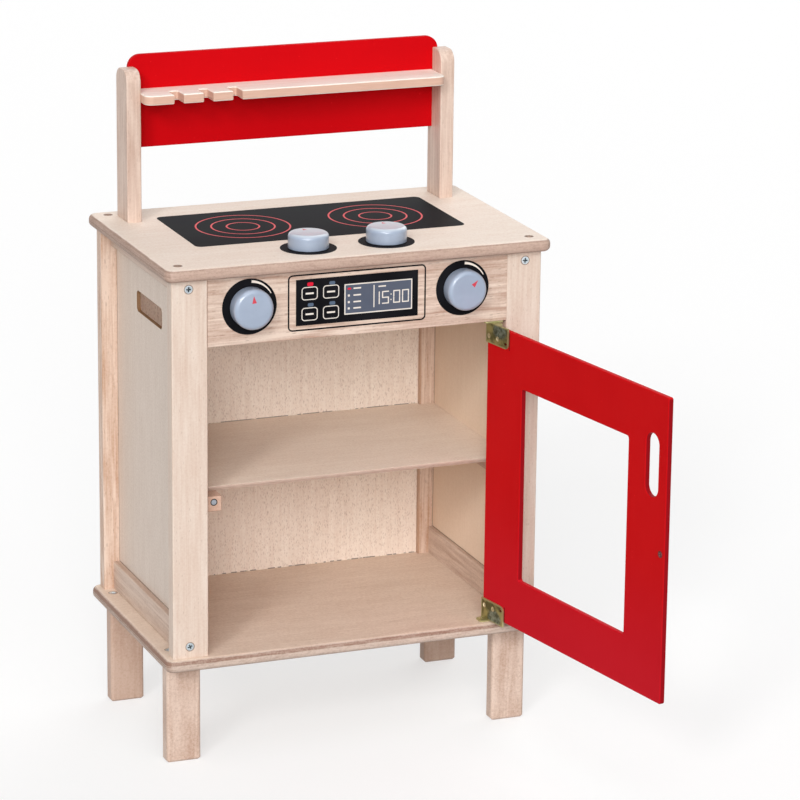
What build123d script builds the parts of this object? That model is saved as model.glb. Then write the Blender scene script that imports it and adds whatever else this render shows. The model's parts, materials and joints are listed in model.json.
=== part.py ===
"""Toy stove: a wooden play kitchen with a hinged door, an inside shelf and four turning knobs.

A base plate on four legs carries four posts. Rails and thin panels close the sides, a panel
closes the back, and a worktop with a printed hob lies on top. Two uprights behind the hob hold
a red splash board and a utensil rail with three notches.

The origin is on the floor under the middle of the cabinet. X runs to the right, Y to the rear
and Z up. All sizes are in millimetres.
"""

import os

from build123d import *

os.makedirs("parts", exist_ok=True)

# Cabinet frame
cabinet_width = 400
cabinet_depth = 250
leg_height = 108
leg_width = 37
leg_depth = 17
leg_front_inset = 22
leg_rear_inset = 20
leg_edge_radius = 3.5
leg_foot_chamfer = 2
post_height = 398
post_width = 38
post_thickness = 15.5
post_edge_radius = 1.5

# Cover boards: base plate below the posts and worktop above them
base_thickness = 13
worktop_thickness = 13
side_overhang = 8.5
base_front_overhang = 8
worktop_front_overhang = 10.5
rear_overhang = 7
board_corner_radius = 10
board_edge_radius = 5.2

# Side rails, front rail and panels
rail_outer_inset = 10.5
rail_thickness = 15
lower_rail_height = 30.7
upper_rail_height = 19
front_rail_height = 71.5
rail_edge_radius = 1.2
panel_thickness = 4
side_panel_inset = 17.3
back_panel_inset = 5.2
groove_depth = 5
groove_clearance = 0.1
hand_slot_length = 83
hand_slot_height = 22
hand_slot_corner_radius = 5
hand_slot_drop = 61.5

# Shelf on its cleats, with the door's catch in front
shelf_level = 172
shelf_thickness = 4.5
shelf_front_setback = 26
shelf_edge_radius = 1
shelf_clearance = 0.3
cleat_height = 16
catch_block_width = 17
catch_block_length = 40
catch_block_setback = 7.2
catch_gap = 0.3
magnet_diameter = 7.5
magnet_length = 5
magnet_drop = 6
magnet_clearance = 0.05
strike_diameter = 7
strike_dome_radius = 0.7
strike_shank_radius = 1.4

# Door, drawn open as it stands at rest
door_thickness = 5.8
door_front_setback = 0.1
door_side_gap = 1.5
door_bottom_gap = 7
door_top_gap = 4.5
door_open_angle = 100.3
door_corner_radius = 2.5
door_edge_radius = 1.2
pivot_inset = 9.4
window_hinge_margin = 65
window_free_margin = 66
window_bottom_margin = 53.3
window_top_margin = 55.2
window_corner_radius = 3
finger_slot_width = 21.4
finger_slot_height = 65
finger_slot_margin = 14.6
finger_slot_top_margin = 41.5

# Door hinges: a plate with the pivot pin on the cabinet, a bent leaf on the door
hinge_plate_length = 21
hinge_plate_depth = 13
hinge_plate_thickness = 1.5
hinge_plate_setback = 0.6
hinge_plate_post_gap = 2
hinge_plate_corner_radius = 3
plate_screw_insets = (4.6, 16.2)
plate_screw_rear_inset = 4
leaf_length = 41
leaf_height = 22.4
leaf_thickness = 1.4
leaf_past_edge = 1
leaf_corner_radius = 6
flange_length = 22
flange_corner_radius = 3
leaf_slot_length = 6
leaf_slot_width = 2.6
leaf_slot_level = 17.2
leaf_slot_place = 35
leaf_bend_radius = 1
leaf_screw_places = (4.6, 20.8)
leaf_screw_inset = 15
pin_radius = 1.5
pin_head_radius = 2.6
pin_head_height = 0.8
pin_clearance = 0.05
hinge_play = 0.1

# Screws and dowels
screw_head_radius = 4.1
screw_shank_radius = 1.8
screw_length = 45
screw_clearance = 0.05
side_screw_level = 12
corner_screw_inset = 10
worktop_screw_sink = 1.5
leg_screw_inset = 5.5
small_head_radius = 2.7
small_shank_radius = 1.3
plate_screw_length = 11
leaf_screw_length = 5.5
dowel_clearance = 0.05
rail_dowel_radius = 4
rail_dowel_length = 30
rail_dowel_inset = 15
upright_dowel_radius = 3
upright_dowel_length = 22
upright_dowel_inset = 9
utensil_dowel_radius = 2.5
utensil_dowel_length = 18

# Printed skins
print_thickness = 0.3
hob_side_inset = 52.5
hob_front_inset = 76.3
hob_rear_inset = 37.7
hob_corner_radius = 7
dial_diameter = 58
control_dial_gaps = (11.95, 11.25)
control_height = 58.7
control_corner_radius = 5
control_line_width = 1.5
control_top_margin = 4
control_field_side_margin = 8.65
control_field_end_margin = 5.35

# Turning knobs
knob_diameter = 42
knob_height = 16.5
knob_rim_radius = 4.6
knob_foot_radius = 0.8
knob_gap = 0.3
spindle_radius = 4
spindle_sink = 9
spindle_glue_gap = 0.05
spindle_bore_clearance = 0.08
retainer_gap = 0.3
retainer_flange_radius = 7
retainer_flange_thickness = 1.2
retainer_head_radius = 3.6
retainer_head_height = 2.4
retainer_shank_radius = 1.4
retainer_shank_length = 12
front_knob_insets = (44, 49.5)
front_knob_drop = 32.5
top_knob_places = (-41.5, 43.3)
top_knob_inset = 37.4

# Uprights, splash board and utensil rail
upright_height = 159.5
upright_thickness = 15.5
upright_depth = 36.1
upright_side_inset = 18
upright_rear_inset = 16.1
upright_top_radius = 13
upright_edge_radius = 1.2
splash_thickness = 6
splash_height = 98
splash_level = 73.6
splash_front_setback = 24.6
splash_groove_depth = 5.9
splash_corner_radius = 13.5
splash_edge_radius = 0.8
utensil_rail_thickness = 10
utensil_rail_depth = 41
utensil_rail_level = 125.7
utensil_corner_radius = 9
utensil_edge_radius = 1.5
notch_count = 3
notch_width = 10.3
notch_depth = 20
notch_corner_radius = 2
notch_mouth_radius = 2.5
notch_first_place = 35.9
notch_pitch = 32

# One overrun for all cuts that leave the wood
cut_overrun = 2

# Levels and faces worked out from the sizes above
half_width = cabinet_width / 2
half_depth = cabinet_depth / 2
base_top = leg_height + base_thickness
post_top = base_top + post_height
worktop_top = post_top + worktop_thickness
post_inner_x = half_width - post_width
post_inner_y = half_depth - post_thickness
rail_x = half_width - rail_outer_inset - rail_thickness / 2
panel_x = half_width - side_panel_inset - panel_thickness / 2
panel_inner_x = panel_x - panel_thickness / 2
back_panel_y = half_depth - back_panel_inset - panel_thickness / 2
lower_rail_top = base_top + lower_rail_height
upper_rail_bottom = post_top - upper_rail_height
front_rail_bottom = post_top - front_rail_height
shelf_top = base_top + shelf_level
shelf_bottom = shelf_top - shelf_thickness
groove_width = panel_thickness + 2 * groove_clearance
side_panel_height = upper_rail_bottom - lower_rail_top + 2 * groove_depth
side_panel_middle = (upper_rail_bottom + lower_rail_top) / 2

# The door fills the opening between the posts, and the window keeps its margins in it
door_width = 2 * (post_inner_x - door_side_gap)
door_height = front_rail_bottom - base_top - door_bottom_gap - door_top_gap
window_width = door_width - window_hinge_margin - window_free_margin
window_height = door_height - window_bottom_margin - window_top_margin

# Pivot axis of the door and the planes that its pieces are drawn on
pivot_x = post_inner_x - door_side_gap - pivot_inset
pivot_y = -half_depth + door_front_setback + door_thickness / 2
door_bottom = base_top + door_bottom_gap
door_along = Vector(-1, 0, 0).rotate(Axis.Z, door_open_angle)
door_inward = Vector(0, 1, 0).rotate(Axis.Z, door_open_angle)
door_middle = Plane((pivot_x, pivot_y, 0), x_dir=door_along, z_dir=door_inward)
door_inner_face = door_middle.offset(door_thickness / 2)
leaf_face = door_inner_face.offset(leaf_thickness)
pivot_floor = Plane((pivot_x, pivot_y, 0), x_dir=door_along, z_dir=(0, 0, 1))

# Catch: the strike on the door meets the magnet when the door is closed
magnet_x = -post_inner_x + catch_block_width / 2
magnet_z = shelf_bottom - magnet_drop
catch_block_front = -half_depth + catch_block_setback
strike_place = (pivot_x - magnet_x, magnet_z)
strike_height = catch_block_setback - door_front_setback - door_thickness - catch_gap

# Uprights and what stands between them
upright_x = half_width - upright_side_inset - upright_thickness / 2
upright_inner_x = upright_x - upright_thickness / 2
upright_y = half_depth - upright_rear_inset - upright_depth / 2
upright_front_y = upright_y - upright_depth / 2
splash_front_y = upright_front_y + splash_front_setback
splash_y = splash_front_y + splash_thickness / 2
utensil_rail_bottom = worktop_top + utensil_rail_level
utensil_dowel_y = (upright_front_y + splash_front_y) / 2
utensil_dowel_z = utensil_rail_bottom + utensil_rail_thickness / 2


def save(part, name):
    """Label a finished piece and write it to its own STEP file."""
    part.label = name
    export_step(part, f"parts/{name}.step")


def cover_board(front_overhang, thickness):
    """Board that reaches past the posts on all sides, underside at zero, with rounded edges."""
    with BuildPart() as board:
        with BuildSketch():
            with Locations((0, (rear_overhang - front_overhang) / 2)):
                RectangleRounded(
                    cabinet_width + 2 * side_overhang,
                    cabinet_depth + front_overhang + rear_overhang,
                    board_corner_radius,
                )
        extrude(amount=thickness)
        fillet(board.faces().filter_by(Axis.Z).edges(), board_edge_radius)
    return board.part


def countersunk_screw(head_radius, shank_radius, length):
    """Screw with its flat head at the origin, a head cone of 90 degrees and its point down."""
    with BuildPart() as screw:
        with BuildSketch(Plane.XZ):
            with BuildLine():
                Polyline(
                    (0, 0),
                    (head_radius, 0),
                    (shank_radius, shank_radius - head_radius),
                    (shank_radius, 2 * shank_radius - length),
                    (0, -length),
                    close=True,
                )
            make_face()
        revolve(axis=Axis.Z)
    return screw.part


def screw_countersink(head_radius, shank_radius):
    """Cut a through hole with its countersink at each active location."""
    CounterSinkHole(
        shank_radius + screw_clearance,
        head_radius + screw_clearance,
        counter_sink_angle=90,
    )


def screw_pilot(shank_radius, length):
    """Cut the blind hole that a screw of this length fills at each active location."""
    Hole(shank_radius + screw_clearance, depth=length + screw_clearance)


frame_screw = countersunk_screw(screw_head_radius, screw_shank_radius, screw_length)
plate_screw = countersunk_screw(small_head_radius, small_shank_radius, plate_screw_length)
leaf_screw = countersunk_screw(small_head_radius, small_shank_radius, leaf_screw_length)

# Screw places: each plane lies on the screw's head and looks out of the wood
side_screw_levels = (base_top + side_screw_level, post_top - upper_rail_height / 2)
side_screws = [
    Plane((x, side * half_depth, level), z_dir=(0, side, 0))
    for x in (-rail_x, rail_x)
    for side in (-1, 1)
    for level in side_screw_levels
]
corner_x = half_width - corner_screw_inset
corner_y = half_depth - corner_screw_inset
corner_points = [(x, y) for x in (-corner_x, corner_x) for y in (-corner_y, corner_y)]
worktop_screws = [Plane((x, y, worktop_top - worktop_screw_sink)) for x, y in corner_points]
base_screws = [Plane((x, y, leg_height), z_dir=(0, 0, -1)) for x, y in corner_points]
leg_front_y = -half_depth + leg_front_inset + leg_depth / 2
leg_rear_y = half_depth - leg_rear_inset - leg_depth / 2
leg_screw_x = half_width - leg_screw_inset
leg_screws = [
    Plane((x, y, base_top)) for x in (-leg_screw_x, leg_screw_x) for y in (leg_front_y, leg_rear_y)
]

# Dowel places: each plane lies on the joint of two pieces and looks along the dowel
rail_middle_y = -half_depth + post_thickness / 2
rail_dowels = [
    Plane((x, rail_middle_y, level), z_dir=(1, 0, 0))
    for x in (-post_inner_x, post_inner_x)
    for level in (front_rail_bottom + rail_dowel_inset, post_top - rail_dowel_inset)
]
upright_dowels = [
    Plane((x, y, worktop_top))
    for x in (-upright_x, upright_x)
    for y in (
        upright_front_y + upright_dowel_inset,
        upright_front_y + upright_depth - upright_dowel_inset,
    )
]
utensil_dowels = [
    Plane((x, utensil_dowel_y, utensil_dowel_z), z_dir=(1, 0, 0))
    for x in (-upright_inner_x, upright_inner_x)
]

# Knob places: each plane lies on the printed board and looks along the knob's axis
front_knob_z = post_top - front_knob_drop
top_knob_y = -half_depth + top_knob_inset
front_knob_xs = (-post_inner_x + front_knob_insets[0], post_inner_x - front_knob_insets[1])
front_knobs = [Plane((x, -half_depth, front_knob_z), z_dir=(0, -1, 0)) for x in front_knob_xs]
top_knobs = [Plane((x, top_knob_y, worktop_top)) for x in top_knob_places]

# Hinge plates: the lower one lies on the base plate, the upper one hangs under the front rail
hinge_plate_end = post_inner_x - hinge_plate_post_gap
hinge_plate_x = hinge_plate_end - hinge_plate_length / 2
hinge_plate_y = -half_depth + hinge_plate_setback + hinge_plate_depth / 2
plate_screw_y = hinge_plate_y + hinge_plate_depth / 2 - plate_screw_rear_inset
lower_plate_top = base_top + hinge_plate_thickness
upper_plate_bottom = front_rail_bottom - hinge_plate_thickness
plate_screw_xs = [hinge_plate_end - hinge_plate_length + inset for inset in plate_screw_insets]
lower_plate_screws = [Plane((x, plate_screw_y, lower_plate_top)) for x in plate_screw_xs]
upper_plate_screws = [
    Plane((x, plate_screw_y, upper_plate_bottom), z_dir=(0, 0, -1)) for x in plate_screw_xs
]

# Legs, set in from the front and the rear, with softened edges and feet
for row, leg_y in (("front", leg_front_y), ("rear", leg_rear_y)):
    with BuildPart() as leg:
        with BuildSketch():
            with Locations((-half_width + leg_width / 2, leg_y)):
                RectangleRounded(leg_width, leg_depth, leg_edge_radius)
        extrude(amount=leg_height)
        chamfer(leg.faces().sort_by(Axis.Z)[0].edges(), leg_foot_chamfer)
        with Locations(*leg_screws):
            screw_pilot(screw_shank_radius, screw_length)
    save(leg.part, f"leg_{row}_left")
    with BuildPart() as mirrored_leg:
        mirror(leg.part, about=Plane.YZ)
    save(mirrored_leg.part, f"leg_{row}_right")

# Base plate under the posts
base_blank = cover_board(base_front_overhang, base_thickness)
with BuildPart() as base_plate:
    with Locations((0, 0, leg_height)):
        add(base_blank)
    with Locations(*leg_screws, *base_screws):
        screw_countersink(screw_head_radius, screw_shank_radius)
    with Locations(*lower_plate_screws):
        screw_pilot(small_shank_radius, plate_screw_length)
save(base_plate.part, "base_plate")

# Worktop with the bores of its two knobs
worktop_blank = cover_board(worktop_front_overhang, worktop_thickness)
with BuildPart() as worktop:
    with Locations((0, 0, post_top)):
        add(worktop_blank)
    with Locations(*worktop_screws):
        screw_countersink(screw_head_radius, screw_shank_radius)
    with Locations(*upright_dowels):
        Hole(upright_dowel_radius + dowel_clearance, depth=upright_dowel_length / 2)
    with Locations(*top_knobs):
        Hole(spindle_radius + spindle_bore_clearance)
save(worktop.part, "worktop")

# Posts: flat boards with a stopped groove for the side panel; the rear ones also hold the back
for row, side in (("front", -1), ("rear", 1)):
    with BuildPart() as post:
        with BuildSketch(Plane.XY.offset(base_top)):
            with Locations((-half_width + post_width / 2, side * (half_depth - post_thickness / 2))):
                RectangleRounded(post_width, post_thickness, post_edge_radius)
        extrude(amount=post_height)
        with Locations((-panel_x, side * post_inner_y, side_panel_middle)):
            Box(groove_width, 2 * groove_depth, side_panel_height, mode=Mode.SUBTRACT)
        with Locations(*side_screws):
            screw_countersink(screw_head_radius, screw_shank_radius)
        with Locations(*worktop_screws, *base_screws):
            screw_pilot(screw_shank_radius, screw_length)
        if row == "front":
            with Locations(*rail_dowels):
                Hole(rail_dowel_radius + dowel_clearance, depth=rail_dowel_length / 2)
        else:
            with Locations((-post_inner_x, back_panel_y, (base_top + post_top) / 2)):
                Box(2 * groove_depth, groove_width, post_height, mode=Mode.SUBTRACT)
    save(post.part, f"post_{row}_left")
    with BuildPart() as mirrored_post:
        mirror(post.part, about=Plane.YZ)
    save(mirrored_post.part, f"post_{row}_right")

# Side rails between the posts, each with a groove for the side panel
for level, rail_bottom, rail_height, groove_z in (
    ("lower", base_top, lower_rail_height, lower_rail_top),
    ("upper", upper_rail_bottom, upper_rail_height, upper_rail_bottom),
):
    with BuildPart() as rail:
        with BuildSketch(Plane.XZ.offset(-post_inner_y)):
            with Locations((-rail_x, rail_bottom + rail_height / 2)):
                RectangleRounded(rail_thickness, rail_height, rail_edge_radius)
        extrude(amount=2 * post_inner_y)
        with Locations((-panel_x, 0, groove_z)):
            Box(groove_width, 2 * post_inner_y, 2 * groove_depth, mode=Mode.SUBTRACT)
        with Locations(*side_screws):
            screw_pilot(screw_shank_radius, screw_length)
    save(rail.part, f"{level}_rail_left")
    with BuildPart() as mirrored_rail:
        mirror(rail.part, about=Plane.YZ)
    save(mirrored_rail.part, f"{level}_rail_right")

# Side panels with their hand slots, held on all four edges
with BuildPart() as side_panel:
    with BuildSketch(Plane.YZ.offset(-panel_x - panel_thickness / 2)):
        with Locations((0, side_panel_middle)):
            Rectangle(
                2 * (post_inner_y + groove_depth - groove_clearance),
                side_panel_height - 2 * groove_clearance,
            )
        with Locations((0, post_top - hand_slot_drop)):
            RectangleRounded(
                hand_slot_length,
                hand_slot_height,
                hand_slot_corner_radius,
                mode=Mode.SUBTRACT,
            )
    extrude(amount=panel_thickness)
save(side_panel.part, "side_panel_left")
with BuildPart() as mirrored_panel:
    mirror(side_panel.part, about=Plane.YZ)
save(mirrored_panel.part, "side_panel_right")

# Back panel, standing on the base plate in the grooves of the rear posts
with BuildPart() as back_panel:
    with BuildSketch(Plane.XY.offset(base_top)):
        with Locations((0, back_panel_y)):
            Rectangle(2 * (post_inner_x + groove_depth - groove_clearance), panel_thickness)
    extrude(amount=post_height - groove_clearance)
save(back_panel.part, "back_panel")

# Front rail with the bores of the two front knobs
with BuildPart() as front_rail:
    with BuildSketch(Plane.YZ.offset(-post_inner_x)):
        with Locations((rail_middle_y, front_rail_bottom + front_rail_height / 2)):
            RectangleRounded(post_thickness, front_rail_height, rail_edge_radius)
    extrude(amount=2 * post_inner_x)
    with Locations(*front_knobs):
        Hole(spindle_radius + spindle_bore_clearance)
    with Locations(*rail_dowels):
        Hole(rail_dowel_radius + dowel_clearance, depth=rail_dowel_length / 2)
    with Locations(*upper_plate_screws):
        screw_pilot(small_shank_radius, plate_screw_length)
save(front_rail.part, "front_rail")

# Shelf cleats between the posts, under the shelf and against the side panels
cleat_width = panel_inner_x - post_inner_x
with BuildPart() as shelf_cleat:
    with Locations((-post_inner_x - cleat_width / 2, 0, shelf_bottom)):
        Box(
            cleat_width,
            2 * post_inner_y,
            cleat_height,
            align=(Align.CENTER, Align.CENTER, Align.MAX),
        )
    cleat_edge = shelf_cleat.edges().filter_by(Axis.Y).group_by(Axis.X)[-1].sort_by(Axis.Z)[0]
    fillet(cleat_edge, rail_edge_radius)
save(shelf_cleat.part, "shelf_cleat_left")
with BuildPart() as mirrored_cleat:
    mirror(shelf_cleat.part, about=Plane.YZ)
save(mirrored_cleat.part, "shelf_cleat_right")

# Shelf, notched round the rear posts
shelf_front_y = -half_depth + shelf_front_setback
shelf_rear_y = back_panel_y - panel_thickness / 2 - shelf_clearance
shelf_half_width = panel_inner_x - shelf_clearance
shelf_notch_width = shelf_half_width - post_inner_x + shelf_clearance
shelf_notch_depth = shelf_rear_y - post_inner_y + shelf_clearance
with BuildPart() as shelf:
    with BuildSketch(Plane.XY.offset(shelf_bottom)):
        with Locations((0, shelf_front_y)):
            Rectangle(
                2 * shelf_half_width,
                shelf_rear_y - shelf_front_y,
                align=(Align.CENTER, Align.MIN),
            )
        for side in (-1, 1):
            with Locations((side * (shelf_half_width - shelf_notch_width / 2), shelf_rear_y)):
                Rectangle(
                    shelf_notch_width,
                    shelf_notch_depth,
                    align=(Align.CENTER, Align.MAX),
                    mode=Mode.SUBTRACT,
                )
    extrude(amount=shelf_thickness)
    front_edges = shelf.edges().filter_by(Axis.X).group_by(Axis.Y)[0]
    fillet(front_edges, shelf_edge_radius)
save(shelf.part, "shelf")

# Catch block on the left cleat and post, with the magnet let into its front end
with BuildPart() as catch_block:
    with Locations((magnet_x, catch_block_front, shelf_bottom)):
        Box(
            catch_block_width,
            catch_block_length,
            cleat_height,
            align=(Align.CENTER, Align.MIN, Align.MAX),
        )
    front_face = catch_block.faces().sort_by(Axis.Y)[0]
    fillet(front_face.edges(), rail_edge_radius)
    with Locations(Plane((magnet_x, catch_block_front, magnet_z), z_dir=(0, -1, 0))):
        Hole(magnet_diameter / 2 + magnet_clearance, depth=magnet_length + magnet_clearance)
save(catch_block.part, "catch_block")

with BuildPart() as catch_magnet:
    with BuildSketch(Plane((magnet_x, catch_block_front, magnet_z), z_dir=(0, 1, 0))):
        Circle(magnet_diameter / 2)
    extrude(amount=magnet_length)
save(catch_magnet.part, "catch_magnet")

# Door panel with its window and finger slot
door_centre_x = door_width / 2 - pivot_inset
window_x = window_hinge_margin + window_width / 2 - pivot_inset
window_z = door_bottom + window_bottom_margin + window_height / 2
finger_slot_x = door_width - pivot_inset - finger_slot_margin - finger_slot_width / 2
finger_slot_z = door_bottom + door_height - finger_slot_top_margin - finger_slot_height / 2
lower_leaf_bottom = lower_plate_top + hinge_play
upper_leaf_top = upper_plate_bottom - hinge_play
leaf_screw_points = [
    (place - pivot_inset, level)
    for place in leaf_screw_places
    for level in (lower_leaf_bottom + leaf_screw_inset, upper_leaf_top - leaf_screw_inset)
]
with BuildPart() as door_panel:
    with BuildSketch(door_middle.offset(-door_thickness / 2)):
        with Locations((door_centre_x, door_bottom + door_height / 2)):
            RectangleRounded(door_width, door_height, door_corner_radius)
        with Locations((window_x, window_z)):
            RectangleRounded(window_width, window_height, window_corner_radius, mode=Mode.SUBTRACT)
        with Locations((finger_slot_x, finger_slot_z)):
            SlotOverall(finger_slot_height, finger_slot_width, rotation=90, mode=Mode.SUBTRACT)
    extrude(amount=door_thickness)
    broad_faces = door_panel.faces().filter_by(Axis(door_middle.origin, door_middle.z_dir))
    fillet(broad_faces.edges(), door_edge_radius)
    with Locations(leaf_face):
        with Locations(*leaf_screw_points):
            screw_pilot(small_shank_radius, leaf_screw_length)
    with Locations(door_inner_face):
        with Locations(strike_place):
            Hole(strike_shank_radius + screw_clearance, depth=door_thickness / 2)
save(door_panel.part, "door_panel")

# Strike: a domed screw head that meets the magnet
with BuildPart() as door_strike:
    with BuildSketch(door_inner_face):
        with Locations(strike_place):
            Circle(strike_diameter / 2)
    extrude(amount=strike_height)
    dome_edge = door_strike.edges().sort_by(Axis(door_middle.origin, door_middle.z_dir))[-1]
    fillet(dome_edge, strike_dome_radius)
    with BuildSketch(door_inner_face):
        with Locations(strike_place):
            Circle(strike_shank_radius)
    extrude(amount=-door_thickness / 2)
save(door_strike.part, "door_strike")

# Hinge leaves: sheet bent round the door's lower edge, with the pin's hole in the bent flange
leaf_start = -pivot_inset - leaf_past_edge
hinge_middle = Plane.XY.offset((base_top + front_rail_bottom) / 2)
with BuildPart() as hinge_leaf:
    with BuildSketch(door_inner_face):
        with Locations((leaf_start, lower_leaf_bottom)):
            Rectangle(leaf_length, leaf_height, align=(Align.MIN, Align.MIN))
        with Locations((leaf_slot_place - pivot_inset, lower_leaf_bottom + leaf_slot_level)):
            SlotOverall(leaf_slot_length, leaf_slot_width, mode=Mode.SUBTRACT)
    extrude(amount=leaf_thickness)
    through_edges = hinge_leaf.edges().filter_by(Axis(door_middle.origin, door_inward))
    free_corner = through_edges.group_by(Axis.Z)[-1].sort_by(Axis(door_middle.origin, door_along))[-1]
    fillet(free_corner, leaf_corner_radius)
    with BuildSketch(pivot_floor.offset(lower_leaf_bottom)):
        with Locations((leaf_start, -door_thickness / 2 - leaf_thickness)):
            Rectangle(
                flange_length,
                door_thickness + leaf_thickness,
                align=(Align.MIN, Align.MIN),
            )
    extrude(amount=leaf_thickness)
    outer_corners = hinge_leaf.edges().filter_by(Axis.Z).sort_by(Axis(door_middle.origin, door_inward))
    fillet(outer_corners[:2], flange_corner_radius)
    bend_edges = hinge_leaf.edges().filter_by(Axis(door_middle.origin, door_along)).group_by(Axis.Z)[0]
    fillet(bend_edges.sort_by(Axis(door_middle.origin, door_inward))[-1], leaf_bend_radius)
    with Locations(pivot_floor.offset(lower_leaf_bottom)):
        Hole(pin_radius + pin_clearance, depth=2 * leaf_thickness)
    with Locations(leaf_face):
        with Locations(*leaf_screw_points):
            screw_countersink(small_head_radius, small_shank_radius)
save(hinge_leaf.part, "hinge_leaf_lower")
with BuildPart() as upper_hinge_leaf:
    mirror(hinge_leaf.part, about=hinge_middle)
save(upper_hinge_leaf.part, "hinge_leaf_upper")

# Hinge plates, each with its riveted pivot pin, whose head keeps the leaf on
pin_length = hinge_plate_thickness + leaf_thickness + 2 * hinge_play
with BuildPart() as hinge_plate:
    with BuildSketch(Plane.XY.offset(base_top)):
        with Locations((hinge_plate_x, hinge_plate_y)):
            RectangleRounded(hinge_plate_length, hinge_plate_depth, hinge_plate_corner_radius)
    extrude(amount=hinge_plate_thickness)
    with Locations(*lower_plate_screws):
        screw_countersink(small_head_radius, small_shank_radius)
    with BuildSketch(Plane.XY.offset(base_top)):
        with Locations((pivot_x, pivot_y)):
            Circle(pin_radius)
    extrude(amount=pin_length)
    with BuildSketch(Plane.XY.offset(base_top + pin_length)):
        with Locations((pivot_x, pivot_y)):
            Circle(pin_head_radius)
    extrude(amount=pin_head_height)
save(hinge_plate.part, "hinge_plate_lower")
with BuildPart() as upper_hinge_plate:
    mirror(hinge_plate.part, about=hinge_middle)
save(upper_hinge_plate.part, "hinge_plate_upper")

# Printed skins: hob on the worktop, four dials, and the control panel on the front rail
with BuildPart() as hob_print:
    with BuildSketch(Plane.XY.offset(worktop_top)):
        with Locations((0, (hob_front_inset - hob_rear_inset) / 2)):
            RectangleRounded(
                cabinet_width - 2 * hob_side_inset,
                cabinet_depth - hob_front_inset - hob_rear_inset,
                hob_corner_radius,
            )
    extrude(amount=print_thickness)
save(hob_print.part, "hob_print")

with BuildPart() as dial_prints:
    with BuildSketch(*front_knobs, *top_knobs):
        Circle(dial_diameter / 2)
        Circle(spindle_radius + spindle_bore_clearance, mode=Mode.SUBTRACT)
    extrude(amount=print_thickness)
save(dial_prints.part, "dial_prints")

control_left = front_knob_xs[0] + dial_diameter / 2 + control_dial_gaps[0]
control_right = front_knob_xs[1] - dial_diameter / 2 - control_dial_gaps[1]
control_width = control_right - control_left
control_x = (control_left + control_right) / 2
control_z = post_top - control_top_margin - control_height / 2
with BuildPart() as control_print:
    with BuildSketch(Plane((control_x, -half_depth, control_z), (1, 0, 0), (0, -1, 0))):
        RectangleRounded(control_width, control_height, control_corner_radius)
        RectangleRounded(
            control_width - 2 * control_line_width,
            control_height - 2 * control_line_width,
            control_corner_radius - control_line_width,
            mode=Mode.SUBTRACT,
        )
        Rectangle(
            control_width - 2 * control_field_side_margin,
            control_height - 2 * control_field_end_margin,
        )
    extrude(amount=print_thickness)
save(control_print.part, "control_print")


def turning_knob():
    """Round knob over the origin, its flat face up, with a blind bore for its spindle."""
    foot = print_thickness + knob_gap
    with BuildPart() as knob:
        with BuildSketch(Plane.XZ) as profile:
            with Locations((0, foot)):
                Rectangle(knob_diameter / 2, knob_height, align=(Align.MIN, Align.MIN))
            rim = profile.vertices().group_by(Axis.X)[-1].sort_by(Axis.Y)
            fillet(rim[0], knob_foot_radius)
            fillet(rim[1], knob_rim_radius)
            with Locations((0, foot)):
                Rectangle(
                    spindle_radius + spindle_glue_gap,
                    spindle_sink + spindle_glue_gap,
                    align=(Align.MIN, Align.MIN),
                    mode=Mode.SUBTRACT,
                )
        revolve(axis=Axis.Z)
    return knob.part


def knob_spindle(board_thickness):
    """Spindle from inside the knob through the board, with a pilot bore in its far end."""
    top = print_thickness + knob_gap + spindle_sink
    end = -board_thickness - retainer_gap
    with BuildPart() as spindle:
        with Locations((0, 0, end)):
            Cylinder(
                spindle_radius,
                top - end,
                align=(Align.CENTER, Align.CENTER, Align.MIN),
            )
        with Locations((0, 0, end)):
            Hole(
                retainer_shank_radius + screw_clearance,
                depth=retainer_shank_length + screw_clearance,
            )
    return spindle.part


def knob_retainer(board_thickness):
    """Washer-head screw in the spindle's end, which keeps the knob on behind the board."""
    end = -board_thickness - retainer_gap
    with BuildPart() as retainer:
        for radius, start, length in (
            (retainer_flange_radius, end, -retainer_flange_thickness),
            (
                retainer_head_radius,
                end - retainer_flange_thickness,
                -retainer_head_height,
            ),
            (retainer_shank_radius, end, retainer_shank_length),
        ):
            with BuildSketch(Plane.XY.offset(start)):
                Circle(radius)
            extrude(amount=length)
    return retainer.part


# Turning knobs, each with its spindle and retaining screw
knob_shape = turning_knob()
for row, seats, board_thickness in (
    ("front", front_knobs, post_thickness),
    ("top", top_knobs, worktop_thickness),
):
    spindle_shape = knob_spindle(board_thickness)
    retainer_shape = knob_retainer(board_thickness)
    for side, seat in zip(("left", "right"), seats):
        for piece, shape in (
            ("knob", knob_shape),
            ("spindle", spindle_shape),
            ("retainer", retainer_shape),
        ):
            with BuildPart() as knob_piece:
                with Locations(seat):
                    add(shape)
            save(knob_piece.part, f"{row}_{piece}_{side}")

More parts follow.
